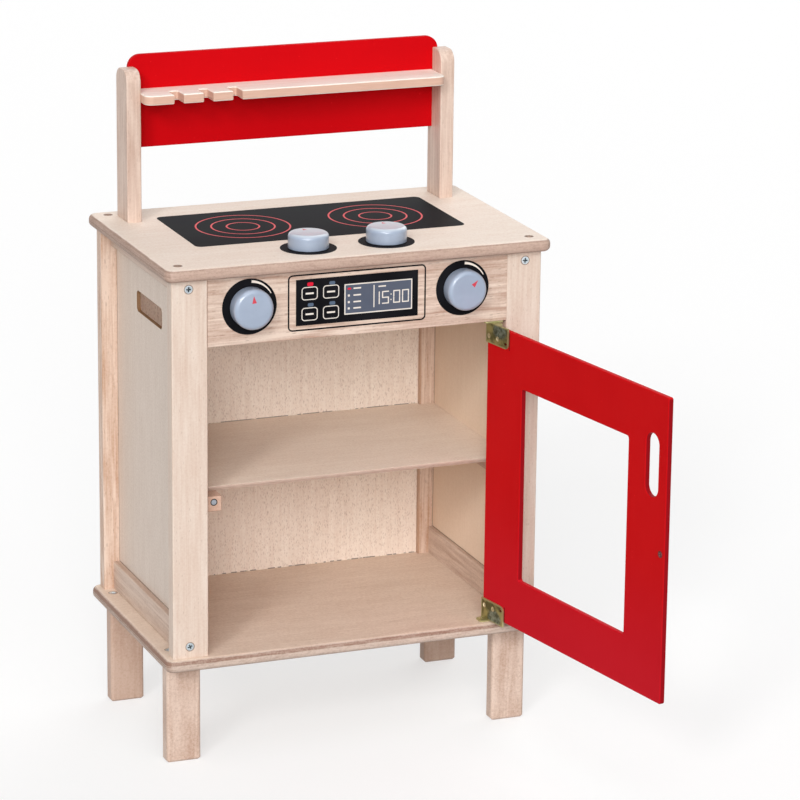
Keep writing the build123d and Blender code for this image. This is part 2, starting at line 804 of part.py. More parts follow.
# Uprights with round tops, open grooves for the splash board and holes for their dowels
splash_bottom = worktop_top + splash_level
upright_top = worktop_top + upright_height
with BuildPart() as upright:
    with BuildSketch(Plane.YZ.offset(-upright_x - upright_thickness / 2)) as side_outline:
        with Locations((upright_y, worktop_top)):
            Rectangle(upright_depth, upright_height, align=(Align.CENTER, Align.MIN))
        fillet(side_outline.vertices().group_by(Axis.Y)[-1], upright_top_radius)
    extrude(amount=upright_thickness)
    fillet(upright.faces().filter_by(Axis.X).edges(), upright_edge_radius)
    with Locations((-upright_inner_x, splash_y, splash_bottom - groove_clearance)):
        Box(
            2 * (splash_groove_depth + groove_clearance),
            splash_thickness + 2 * groove_clearance,
            upright_top - splash_bottom + cut_overrun,
            align=(Align.CENTER, Align.CENTER, Align.MIN),
            mode=Mode.SUBTRACT,
        )
    with Locations(*upright_dowels):
        Hole(upright_dowel_radius + dowel_clearance, depth=upright_dowel_length / 2)
    with Locations(*utensil_dowels):
        Hole(utensil_dowel_radius + dowel_clearance, depth=utensil_dowel_length / 2)
save(upright.part, "upright_left")
with BuildPart() as mirrored_upright:
    mirror(upright.part, about=Plane.YZ)
save(mirrored_upright.part, "upright_right")

# Splash board, let into the uprights from above
with BuildPart() as splash_board:
    with BuildSketch(Plane.XZ.offset(-splash_front_y - splash_thickness)) as board_outline:
        with Locations((0, splash_bottom)):
            Rectangle(
                2 * (upright_inner_x + splash_groove_depth),
                splash_height,
                align=(Align.CENTER, Align.MIN),
            )
        fillet(board_outline.vertices().group_by(Axis.Y)[-1], splash_corner_radius)
    extrude(amount=splash_thickness)
    fillet(splash_board.faces().filter_by(Axis.Y).edges(), splash_edge_radius)
save(splash_board.part, "splash_board")

# Utensil rail in front of the splash board, with notches that open to the front
utensil_front_y = splash_front_y - utensil_rail_depth
with BuildPart() as utensil_rail:
    with BuildSketch(Plane.XY.offset(utensil_rail_bottom)) as rail_outline:
        with Locations((0, utensil_front_y)):
            Rectangle(
                2 * upright_inner_x,
                utensil_rail_depth,
                align=(Align.CENTER, Align.MIN),
            )
        for notch in range(notch_count):
            with Locations((-upright_inner_x + notch_first_place + notch * notch_pitch, utensil_front_y)):
                RectangleRounded(
                    notch_width,
                    2 * notch_depth,
                    notch_corner_radius,
                    mode=Mode.SUBTRACT,
                )
        front_corners = rail_outline.vertices().group_by(Axis.Y)[0].sort_by(Axis.X)
        fillet((front_corners[0], front_corners[-1]), utensil_corner_radius)
        fillet(front_corners[1:-1], notch_mouth_radius)
    extrude(amount=utensil_rail_thickness)
    broad_edges = utensil_rail.faces().filter_by(Axis.Z).edges().sort_by(Axis.Y)
    fillet(broad_edges[:-2], utensil_edge_radius)
    with Locations(*utensil_dowels):
        Hole(utensil_dowel_radius + dowel_clearance, depth=utensil_dowel_length / 2)
save(utensil_rail.part, "utensil_rail")

# Screws, one group for each place that they serve
for name, screw, places in (
    ("side_screws", frame_screw, side_screws),
    ("worktop_screws", frame_screw, worktop_screws),
    ("base_screws", frame_screw, base_screws),
    ("leg_screws", frame_screw, leg_screws),
    ("hinge_plate_screws", plate_screw, lower_plate_screws + upper_plate_screws),
):
    with BuildPart() as screws:
        with Locations(*places):
            add(screw)
    save(screws.part, name)

with BuildPart() as door_screws:
    with Locations(leaf_face):
        with Locations(*leaf_screw_points):
            add(leaf_screw)
save(door_screws.part, "hinge_leaf_screws")

# Dowels inside the joints
with BuildPart() as dowels:
    for places, radius, length in (
        (rail_dowels, rail_dowel_radius, rail_dowel_length),
        (upright_dowels, upright_dowel_radius, upright_dowel_length),
        (utensil_dowels, utensil_dowel_radius, utensil_dowel_length),
    ):
        with Locations(*places):
            Cylinder(radius, length - 2 * dowel_clearance)
save(dowels.part, "dowels")
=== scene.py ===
"""Toy stove in Blender: wood, paint and prints, turned knobs, screw heads, lights and camera.

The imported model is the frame. Everything is in metres, with the origin on the floor under the
middle of the cabinet, X to the right, Y to the rear and Z up.
"""

import json
from math import cos, pi, radians, sin

import bpy
import numpy as np
from mathutils import Matrix, Vector


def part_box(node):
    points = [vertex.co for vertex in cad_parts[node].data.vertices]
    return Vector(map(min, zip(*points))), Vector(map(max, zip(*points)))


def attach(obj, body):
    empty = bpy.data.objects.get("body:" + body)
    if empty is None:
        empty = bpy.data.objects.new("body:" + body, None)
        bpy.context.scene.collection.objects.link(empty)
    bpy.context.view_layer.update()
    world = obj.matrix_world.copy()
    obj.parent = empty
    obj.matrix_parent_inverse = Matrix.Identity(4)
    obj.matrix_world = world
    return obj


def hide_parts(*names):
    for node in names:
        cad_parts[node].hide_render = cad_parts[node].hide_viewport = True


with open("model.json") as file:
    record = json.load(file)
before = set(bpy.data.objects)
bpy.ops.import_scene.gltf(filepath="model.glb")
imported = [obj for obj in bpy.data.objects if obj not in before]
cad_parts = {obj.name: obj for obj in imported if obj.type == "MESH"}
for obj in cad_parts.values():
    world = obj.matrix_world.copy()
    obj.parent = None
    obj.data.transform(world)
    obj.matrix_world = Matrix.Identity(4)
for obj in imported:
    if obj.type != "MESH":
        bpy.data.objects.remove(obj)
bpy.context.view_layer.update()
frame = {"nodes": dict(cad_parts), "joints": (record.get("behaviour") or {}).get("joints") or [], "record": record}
nodes = frame["nodes"]

MM = 0.001


def corners(node):
    """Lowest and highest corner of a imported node, in millimetres."""
    return np.round(np.array(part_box(node)) / MM, 2).tolist()


# Places in millimetres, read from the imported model: pivots, faces of boards, levels of the leaves
PIVOTS = {joint["child"]: [part / MM for part in joint["pos_m"]] for joint in frame["joints"]}
POST_LOW, POST_HIGH = corners("post_front_right")
FRAME_FRONT, BASE_TOP = POST_LOW[1:]
POST_MIDDLE, POST_WIDTH = (POST_LOW[0] + POST_HIGH[0]) / 2, POST_HIGH[0] - POST_LOW[0]
WORKTOP_TOP = corners("worktop")[1][2]
LOWER_RAIL_TOP = corners("lower_rail_left")[1][2]
SHELF_LOW, SHELF_HIGH = corners("shelf")
UTENSIL_LOW, UTENSIL_HIGH = corners("utensil_rail")
DOOR_BOTTOM, DOOR_TOP = (corner[2] for corner in corners("door_panel"))
LEAVES = ("hinge_leaf_lower", "hinge_leaf_upper")
LEAF_LEVELS = [sum(corner[2] for corner in corners(leaf)) / 2 for leaf in LEAVES]
HINGE_MIDDLE = sum(LEAF_LEVELS) / 2
LEAF_REACH = LEAF_LEVELS[1] - HINGE_MIDDLE

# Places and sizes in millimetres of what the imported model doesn't name
SIDE_SCREW_ASIDE, SIDE_SCREW_HEIGHTS = 182, (133, 509.5)
CORNER_SCREWS, CORNER_BORE_DEPTH = (190, 115), 1.5
LEG_SCREWS, LEG_SCREWS_MIDDLE = (194.5, 95.5), 1
PLATE_SCREWS_ASIDE, PLATE_SCREWS_BACK, PLATE_SCREWS_REACH = (143.6, 155.2), -115.4, 161.8
LEAF_SCREWS_ALONG, LEAF_SCREWS_PROUD, LEAF_SCREWS_REACH = (-4.8, 11.4), 4.3, 146.65
STRIKE_PROUD = 3.25
LEAF_ALONG, LEAF_LENGTH, LEAF_HEIGHT = 10.1, 41, 22.4
HAND_SLOT_LEVEL, HAND_SLOT_LENGTH, HAND_SLOT_HEIGHT = 457.5, 83, 22
WINDOW_MIDDLE, WINDOW_WIDTH, WINDOW_SILL = 150.6, 190, 181.3
MAGNET_ASIDE, MAGNET_LEVEL = -153.5, 282.5

# Direction in x and y along the open door, away from its pivot
DOOR_ALONG = (0.1788, -0.9839)


def screen_colour(red, green, blue):
    """Linear colour for a colour written in the 0 to 255 steps of a screen."""
    steps = np.array((red, green, blue)) / 255
    linear = np.where(steps <= 0.04045, steps / 12.92, ((steps + 0.055) / 1.055) ** 2.4)
    return (*(float(part) for part in linear), 1.0)


class Number:
    """A number that varies over a surface; its operators add Math nodes to its finish."""

    def __init__(self, finish, socket):
        self.finish = finish
        self.socket = socket

    def __add__(self, other):
        return self.finish.math("ADD", self, other)

    def __radd__(self, other):
        return self.finish.math("ADD", other, self)

    def __sub__(self, other):
        return self.finish.math("SUBTRACT", self, other)

    def __rsub__(self, other):
        return self.finish.math("SUBTRACT", other, self)

    def __mul__(self, other):
        return self.finish.math("MULTIPLY", self, other)

    def __rmul__(self, other):
        return self.finish.math("MULTIPLY", other, self)

    def __truediv__(self, other):
        return self.finish.math("DIVIDE", self, other)

    def __rtruediv__(self, other):
        return self.finish.math("DIVIDE", other, self)

    def __abs__(self):
        return self.finish.math("ABSOLUTE", self)

    def __or__(self, other):
        """The larger of the two, which joins two masks or two shapes' insides."""
        return self.finish.math("MAXIMUM", self, other)

    def __and__(self, other):
        """The smaller of the two, which keeps what two masks share."""
        return self.finish.math("MINIMUM", self, other)

    def sine(self):
        return self.finish.math("SINE", self)

    def root(self):
        return self.finish.math("SQRT", self)

    def rise(self, low, high):
        """Smooth step from zero at low to one at high."""
        node = self.finish.node(
            "ShaderNodeMapRange",
            {"interpolation_type": "SMOOTHSTEP"},
            {"Value": self, "From Min": low, "From Max": high},
        )
        return Number(self.finish, node.outputs["Result"])

    def inside(self, soft=0.12 * MM):
        """Mask of the places where this distance is below zero, with a soft edge."""
        return 1 - self.rise(-soft, soft)

    def choose(self, low, high):
        """low where this mask is zero and high where it is one."""
        return low + self * (high - low)


class Finish:
    """One material: a Principled shader and the nodes that vary it over the surface."""

    def __init__(self, name, **fixed):
        self.material = bpy.data.materials.new(name)
        self.material.use_nodes = True
        self.tree = self.material.node_tree
        self.tree.nodes.clear()
        self.shader = self.node("ShaderNodeBsdfPrincipled")
        self.node("ShaderNodeOutputMaterial", {}, {"Surface": self.shader.outputs["BSDF"]})
        for key, value in fixed.items():
            self.shader.inputs[key.replace("_", " ")].default_value = value
        self.place = self.node("ShaderNodeTexCoord").outputs["Object"]
        parts = self.node("ShaderNodeSeparateXYZ", {}, {"Vector": self.place}).outputs
        self.x, self.y, self.z = (Number(self, part) for part in parts)

    def node(self, kind, settings=None, values=None):
        """New node of this kind, with its settings and with its inputs set or linked."""
        node = self.tree.nodes.new(kind)
        for key, value in (settings or {}).items():
            setattr(node, key, value)
        for key, value in (values or {}).items():
            value = value.socket if isinstance(value, Number) else value
            if isinstance(value, bpy.types.NodeSocket):
                self.tree.links.new(value, node.inputs[key])
            else:
                node.inputs[key].default_value = value
        return node

    def math(self, operation, *values):
        node = self.node("ShaderNodeMath", {"operation": operation}, dict(enumerate(values)))
        return Number(self, node.outputs["Value"])

    def stretched(self, frequencies):
        """The place with each axis multiplied by its own frequency."""
        values = {0: self.place, 1: frequencies}
        return self.node("ShaderNodeVectorMath", {"operation": "MULTIPLY"}, values).outputs[0]

    def noise(self, frequencies, detail=2.0, roughness=0.5):
        """Smooth random number around one half, with its own frequency along each axis."""
        values = {
            "Vector": self.stretched(frequencies),
            "Scale": 1.0,
            "Detail": detail,
            "Roughness": roughness,
        }
        return Number(self, self.node("ShaderNodeTexNoise", {}, values).outputs["Fac"])

    def flecks(self, frequencies, size, share):
        """Mask of short flecks, at most one in each stretched cell and in this share of them."""
        values = {"Vector": self.stretched(frequencies), "Scale": 1.0}
        cells = self.node("ShaderNodeTexVoronoi", {}, values).outputs
        pick = self.node("ShaderNodeSeparateColor", {}, {"Color": cells["Color"]}).outputs["Red"]
        near = 1 - Number(self, cells["Distance"]).rise(size * 0.45, size)
        return near * Number(self, pick).rise(1 - share, 1 - share * 0.7)

    def mix(self, factor, low, high):
        """Colour that goes from low to high with the factor."""
        values = {0: factor, 6: low, 7: high}
        node = self.node("ShaderNodeMix", {"data_type": "RGBA", "clamp_factor": True}, values)
        return node.outputs[2]

    def set(self, **values):
        """Link or set inputs of the Principled shader."""
        for key, value in values.items():
            socket = value.socket if isinstance(value, Number) else value
            self.tree.links.new(socket, self.shader.inputs[key.replace("_", " ")])
        return self

    def relief(self, height, distance):
        """Bump the surface by a height from zero to one over this distance."""
        values = {"Height": height, "Distance": distance, "Strength": 1.0}
        self.set(Normal=self.node("ShaderNodeBump", {}, values).outputs["Normal"])
        return self.material


def along_grain(grain, along, across):
    """Frequencies of a texture that is drawn out along one axis."""
    return tuple(along if axis == grain else across for axis in "XYZ")


def length_of(across, up):
    """Distance of a point from the origin of its two places."""
    return (across * across + up * up).root()


def from_box(across, up, width, height, radius=0.0):
    """Distance from a rounded rectangle round the origin, below zero inside it."""
    side = abs(across) - (width / 2 - radius)
    top = abs(up) - (height / 2 - radius)
    outer = length_of(side | 0.0, top | 0.0)
    return outer + ((side | top) & 0.0) - radius


def wood_layers(finish, grain, pale, deep, weights, pores):
    """Colour and relief of planed wood, laid from noises that are drawn out along the grain.

    weights gives how much growth rings, stripes, fibres, clouds and mottling show, and pores a
    pore's length and width in millimetres, the share of places that have one and its darkness.
    """
    length, width, share, depth = pores
    bands = finish.noise(along_grain(grain, 2.2, 26), 2.0, 0.45)
    fibres = finish.noise(along_grain(grain, 30, 700), 3.0, 0.6)
    layers = (
        (bands * 70).sine() * bands.rise(0.3, 0.62) * 0.4,
        finish.noise(along_grain(grain, 10, 330), 2.0) - 0.5,
        fibres - 0.5,
        finish.noise(along_grain(grain, 16, 60), 3.0, 0.6) - 0.5,
        finish.noise((400, 400, 400), 2.0, 0.7) - 0.5,
    )
    tone = sum((layer * weight for layer, weight in zip(layers, weights)), 0.4)
    dashes = finish.flecks(along_grain(grain, 700 / length, 700 / width), 0.36, share)
    pore_colour = (deep[0] * 0.42, deep[1] * 0.32, deep[2] * 0.25, 1.0)
    colour = finish.mix(dashes * depth, finish.mix(tone, pale, deep), pore_colour)
    return colour, fibres * 0.5 + 0.5 - dashes * 0.5, fibres


def screw_shade_rim(finish, colour, across, up, bored=False):
    """The colour with a ring of painted shade round each screw, and painted brown shade inside a hole that is
    bored.

    Both places are zero at the screw's axis.
    """
    distance = length_of(across, up)
    # Painted shade: a dark ring where the gap round a screw head lies in shade, and dark brown inside a bore.
    ring = (abs(distance - 4.5 * MM) - 0.45 * MM).inside(0.2 * MM)
    if bored:
        ring = ring | (distance - 4.4 * MM).inside(0.2 * MM)
    return finish.mix(ring * 0.75, colour, screen_colour(104, 78, 62))


def wood(name, grain, pale, deep, weights, pores, detail=None):
    """Planed wood with a clear satin coat, its fibres along one axis, and one extra detail."""
    finish = Finish(name, Specular_IOR_Level=0.5)
    pale, deep = screen_colour(*pale), screen_colour(*deep)
    colour, height, fibres = wood_layers(finish, grain, pale, deep, weights, pores)
    if detail:
        colour = detail(finish, colour)
    finish.set(Base_Color=colour, Roughness=fibres * 0.2 + 0.38)
    return finish.relief(height, 0.1 * MM)


def post_detail(finish, colour):
    """Painted shade rings round the screws near both ends of each post, and painted shade on its side faces."""
    lower, upper = SIDE_SCREW_HEIGHTS
    across = abs(finish.x) - SIDE_SCREW_ASIDE * MM
    up = abs(finish.z - (lower + upper) / 2 * MM) - (upper - lower) / 2 * MM
    colour = screw_shade_rim(finish, colour, across, up)
    # Painted shade: the post's side faces are made darker, as where less light falls on them.
    sides = abs(abs(finish.x) - POST_MIDDLE * MM) - (POST_WIDTH / 2 - 0.4) * MM
    return finish.mix(sides.rise(-0.2 * MM, 0.2 * MM) * 0.08, colour, screen_colour(190, 158, 132))


def leg_detail(finish, colour):
    """Painted shade: deeper colour on the rear legs, as where they stand in shade under the base plate."""
    return finish.mix(finish.y.rise(-1 * MM, 1 * MM) * 0.5, colour, screen_colour(176, 142, 122))


def rear_post_detail(finish, colour):
    """Painted shade: browner colour on the faces that look into the shaded cabinet."""
    inner = 1 - (abs(finish.x) - (POST_LOW[0] + 1.4) * MM).rise(-0.2 * MM, 0.2 * MM)
    return finish.mix(inner * 0.5, colour, screen_colour(172, 126, 92))


def side_rail_detail(finish, colour):
    """Painted shade: deeper colour along the tops of the lower rails, where they meet the side panels."""
    top = (abs(finish.z - LOWER_RAIL_TOP * MM) - 0.5 * MM).inside(0.3 * MM)
    return finish.mix(top * 0.3, colour, screen_colour(150, 118, 100))


def side_detail(finish, colour):
    """Hand slot's brown cut edge (own colour and painted shade), painted light inside, painted shade at grooves.
    """
    level = finish.z - HAND_SLOT_LEVEL * MM
    slot = from_box(finish.y, level, HAND_SLOT_LENGTH * MM, HAND_SLOT_HEIGHT * MM, 5 * MM)
    # The slot's cut edge: partly the cut's own brown and partly painted shade in the slot.
    cut = (abs(slot) - 0.35 * MM).inside(0.15 * MM)
    # Painted light: the faces inside the cabinet are paler and warmer, as where light falls in.
    outer_face = corners("side_panel_right")[1][0]
    inside = 1 - (abs(finish.x) - (outer_face - 0.7) * MM).rise(-1 * MM, 1 * MM)
    colour = finish.mix(inside * 0.45, colour, screen_colour(255, 224, 190))
    colour = finish.mix(cut, colour, screen_colour(132, 98, 66))
    # Painted shade along the grooves at the posts and above the lower rail.
    open_part = (-POST_HIGH[1] * MM - abs(finish.y)).rise(0.4 * MM, 1.5 * MM)
    open_part = open_part & (finish.z - LOWER_RAIL_TOP * MM).rise(0.3 * MM, 1.3 * MM)
    return finish.mix((1 - open_part) * 0.75, colour, screen_colour(96, 66, 48))


def back_detail(finish, colour):
    """More and finer pores, and inside a broken line of painted shade in the gap over the base plate and the
    shelf.
    """
    fine = finish.flecks((1000, 1000, 260), 0.4, 0.6)
    colour = finish.mix(fine * 0.36, colour, screen_colour(144, 102, 84))
    # Painted shade: a broken dark line where the back panel meets the base plate and the shelf.
    broken = finish.noise((110, 30, 30), 2.0).rise(0.44, 0.5)
    over_shelf = abs(finish.z - (SHELF_HIGH[2] + 0.3) * MM) - 0.4 * MM
    gap = (finish.z - (BASE_TOP + 1.1) * MM).inside(0.2 * MM) | over_shelf.inside(0.2 * MM)
    inner_face = corners("back_panel")[0][1]
    front = 1 - (finish.y - (inner_face + 1.2) * MM).rise(-1 * MM, 1 * MM)
    return finish.mix(gap * broken * front * 0.8, colour, screen_colour(74, 54, 42))


def shelf_detail(finish, colour):
    """Pinker plies along the shelf's front edge."""
    front = 1 - (finish.y - (SHELF_LOW[1] + 0.4) * MM).rise(-0.3 * MM, 0.3 * MM)
    plies = (abs(finish.z - (SHELF_LOW[2] + 1.7) * MM) - 0.8 * MM).inside(0.4 * MM)
    dashes = finish.noise((120, 40, 700), 3.0, 0.6).rise(0.4, 0.62)
    tone = plies * 0.4 + dashes * 0.25
    edge = finish.mix(tone, screen_colour(190, 164, 148), screen_colour(146, 118, 102))
    return finish.mix(front, colour, edge)


def rail_detail(finish, colour):
    """Pinker wood on the utensil rail's edges and in its notches."""
    middle, thickness = (UTENSIL_LOW[2] + UTENSIL_HIGH[2]) / 2, UTENSIL_HIGH[2] - UTENSIL_LOW[2]
    edge = (abs(finish.z - middle * MM) - (thickness / 2 - 1) * MM).inside(0.4 * MM)
    streaks = finish.noise((40, 40, 600), 3.0, 0.6)
    edge_colour = finish.mix(streaks, screen_colour(222, 186, 166), screen_colour(198, 156, 136))
    return finish.mix(edge, colour, edge_colour)


def board(name, top, pale, deep, edge, line, ply, screws):
    """Veneered board: mottled faces, and streaky layers of edge wood on its rounded rim.

    ply gives where a dark layer of the rim starts and stops under the top and how dark it is, and
    screws their places to each side of the board's middle, that middle, and if they lie in bores.
    """
    finish = Finish(name, Specular_IOR_Level=0.4)
    pale, deep, edge, line = (screen_colour(*colour) for colour in (pale, deep, edge, line))
    weights, pores = (0.1, 0.35, 0.3, 0.7, 1.2), (3, 0.8, 0.12, 0.3)
    face, height, fibres = wood_layers(finish, "X", pale, deep, weights, pores)
    side, reach, middle, bored = screws
    across, up = abs(finish.x) - side * MM, abs(finish.y - middle * MM) - reach * MM
    face = screw_shade_rim(finish, face, across, up, bored)
    depth = top * MM - finish.z + (finish.noise((40, 40, 200), 3.0, 0.6) - 0.5) * 0.7 * MM
    rim = depth.rise(0.3 * MM, 1.1 * MM) & (1 - depth.rise(12.2 * MM, 12.9 * MM))
    rim = rim & (length_of(across, up) - 6 * MM).rise(-0.5 * MM, 0.5 * MM)
    start, stop, darkness = ply
    band = depth.rise((start - 0.4) * MM, (start + 0.4) * MM)
    band = band & (1 - depth.rise((stop - 0.6) * MM, (stop + 0.6) * MM))
    ends = (abs(finish.x) - 202 * MM).rise(0.0, 3 * MM)
    crease = (abs(depth - 6.2 * MM) - 0.4 * MM).inside(0.3 * MM) * ends
    foot = depth.rise(10.8 * MM, 12.0 * MM)
    streaks = finish.noise((50, 50, 600), 3.0, 0.65) - 0.5
    grit = finish.noise((380, 380, 600), 3.0, 0.7) - 0.5
    layers = band * darkness + foot * 0.5 + ends * 0.3 + crease * 0.5
    tone = layers + streaks * 1.1 + grit * 1.3 + 0.12
    rim_colour = finish.mix(tone, edge, line)
    finish.set(Base_Color=finish.mix(rim, face, rim_colour), Roughness=fibres * 0.18 + 0.46)
    return finish.relief(height + rim * (grit + 0.5) * 0.6, 0.1 * MM)


def leaf_places(finish):
    """Places along the door and off its middle, and height above a leaf's middle to its plate."""
    x, y = finish.x - PIVOTS["door"][0] * MM, finish.y - PIVOTS["door"][1] * MM
    along = x * DOOR_ALONG[0] + y * DOOR_ALONG[1]
    inward = x * DOOR_ALONG[1] - y * DOOR_ALONG[0]
    return along, inward, abs(finish.z - HINGE_MIDDLE * MM) - LEAF_REACH * MM


def door_detail(finish, colour):
    """Pinker paint low down, deeper paint on upright edges, and shade under the hinge leaves.

    That shade, and a painted shadow line in the gap past each leaf's end, lie only on the side that has the
    leaves.
    """
    low = 1 - (finish.z - DOOR_BOTTOM * MM).rise(2 * MM, 162 * MM)
    colour = finish.mix(low * 0.6, colour, screen_colour(193, 24, 42))
    along, inward, level = leaf_places(finish)
    sill_place = (along - WINDOW_MIDDLE * MM, finish.z - WINDOW_SILL * MM)
    sill = from_box(*sill_place, WINDOW_WIDTH * MM, 2.8 * MM)
    level_edges = (abs(finish.z - (DOOR_TOP + 1) * MM) - 2.4 * MM) & sill
    upright = (abs(inward) - 2.35 * MM).inside(0.4 * MM) * (1 - level_edges.inside(0.4 * MM))
    colour = finish.mix(upright, colour, screen_colour(146, 12, 22))
    # Painted shadow line past each leaf's end, and painted shade under the leaf.
    leaf_end = LEAF_ALONG + LEAF_LENGTH / 2
    gap = abs(along - (leaf_end + 0.9) * MM) - 0.8 * MM
    gap = gap | (-(LEAF_HEIGHT / 2 + 0.3) * MM - level)
    covered = ((LEAF_LENGTH - 3) * MM, (LEAF_HEIGHT - 2.4) * MM)
    under = from_box(along - (LEAF_ALONG - 0.1) * MM, level, *covered)
    shaded = ((gap & under) | (2 * MM - inward)).inside(0.3 * MM)
    return finish.mix(shaded * 0.85, colour, screen_colour(52, 12, 12))


def paint(name, colour, shade, hinged):
    """Satin paint over wood: a slight wash of tone, faint grain and tiny specks.

    hinged says that the board is the door, which has details of its own.
    """
    finish = Finish(name, Specular_IOR_Level=0.05)
    colour, shade = screen_colour(*colour), screen_colour(*shade)
    wash = finish.noise((9, 9, 9), 3.0, 0.55)
    grain = finish.noise((500, 500, 26), 3.0, 0.6)
    peel = finish.noise((900, 900, 900), 2.0)
    specks = finish.flecks((190, 190, 190), 0.16, 0.12)
    tone = wash.rise(0.3, 0.75) * 0.5 + grain * 0.3 + peel * 0.3 - 0.15
    paint_colour = finish.mix(tone, colour, shade)
    paler = tuple(min(1.0, part * 1.5 + 0.03) for part in colour[:3]) + (1.0,)
    paint_colour = finish.mix(specks * 0.4, paint_colour, paler)
    if hinged:
        paint_colour = door_detail(finish, paint_colour)
    finish.set(Base_Color=paint_colour, Roughness=wash * 0.14 + grain * 0.12 + 0.4)
    return finish.relief(grain * 0.6 + peel * 0.4, 0.06 * MM)


def black_film(name):
    """Printed black film: returns its finish, ink colour and relief, for marks to lie on."""
    finish = Finish(name, Specular_IOR_Level=0.02)
    haze = finish.noise((22, 22, 22), 3.0, 0.6)
    grain = finish.noise((1100, 1100, 1100), 2.0)
    specks = finish.flecks((260, 260, 260), 0.16, 0.1)
    ink = finish.mix(haze.rise(0.3, 0.8), screen_colour(19, 19, 22), screen_colour(29, 29, 33))
    ink = finish.mix(specks * 0.25, ink, screen_colour(120, 118, 122))
    finish.set(Roughness=haze * 0.16 + 0.42 + specks * 0.2)
    return finish, ink, grain


def turned(across, up, clockwise):
    """Places in axes that are turned clockwise by this many degrees."""
    angle = radians(clockwise)
    return across * cos(angle) - up * sin(angle), across * sin(angle) + up * cos(angle)


def hob_finish():
    """Black hob film with three thin rings for each of its two burners."""
    finish, ink, grain = black_film("hob_print")
    burners, radii = ((-74, 20), (72.5, 19.5)), (49, 33, 17)
    rings = None
    for x, y in burners:
        distance = length_of(finish.x - x * MM, finish.y - y * MM)
        for radius in radii:
            ring = (abs(distance - radius * MM) - 0.9 * MM).inside()
            rings = ring if rings is None else rings | ring
    worn = finish.noise((320, 320, 320), 2.0).rise(0.25, 0.5)
    colour = finish.mix(rings * (0.8 + worn * 0.2), ink, screen_colour(232, 112, 116))
    finish.set(Base_Color=colour)
    return finish.relief(grain * 0.5 + rings * 0.5, 0.02 * MM)


def dial_finish():
    """Black dials, each with a pale tapered arc that starts near its upright mark."""
    finish, ink, grain = black_film("dial_print")
    arc_start, arc_sweep, arc_radius = 5, 57, 25.9
    centres = {name: [part * MM for part in pivot] for name, pivot in PIVOTS.items()}
    right = finish.x.rise(-0.1 * MM, 0.1 * MM)
    on_top = (finish.z - WORKTOP_TOP * MM).rise(-12 * MM, -7 * MM)
    front_x = right.choose(centres["front_knob_left"][0], centres["front_knob_right"][0])
    top_x = right.choose(centres["top_knob_left"][0], centres["top_knob_right"][0])
    front_up = finish.z - centres["front_knob_left"][2]
    top_up = finish.y - centres["top_knob_left"][1]
    across, up = finish.x - on_top.choose(front_x, top_x), on_top.choose(front_up, top_up)
    angle = finish.math("ARCTAN2", across, up) * (180 / pi)
    share = (angle - arc_start) / arc_sweep
    half_width = (1.35 - share * 0.95) * MM
    bow = abs(length_of(across, up) - arc_radius * MM) - half_width
    arc = bow.inside() * share.rise(-0.02, 0.02) * (1 - share.rise(0.98, 1.02))
    worn = finish.noise((900, 900, 900), 2.0).rise(0.2, 0.5)
    colour = finish.mix(arc * (0.85 + worn * 0.15), ink, screen_colour(236, 226, 214))
    finish.set(Base_Color=colour)
    return finish.relief(grain * 0.6 + arc * 0.4, 0.02 * MM)


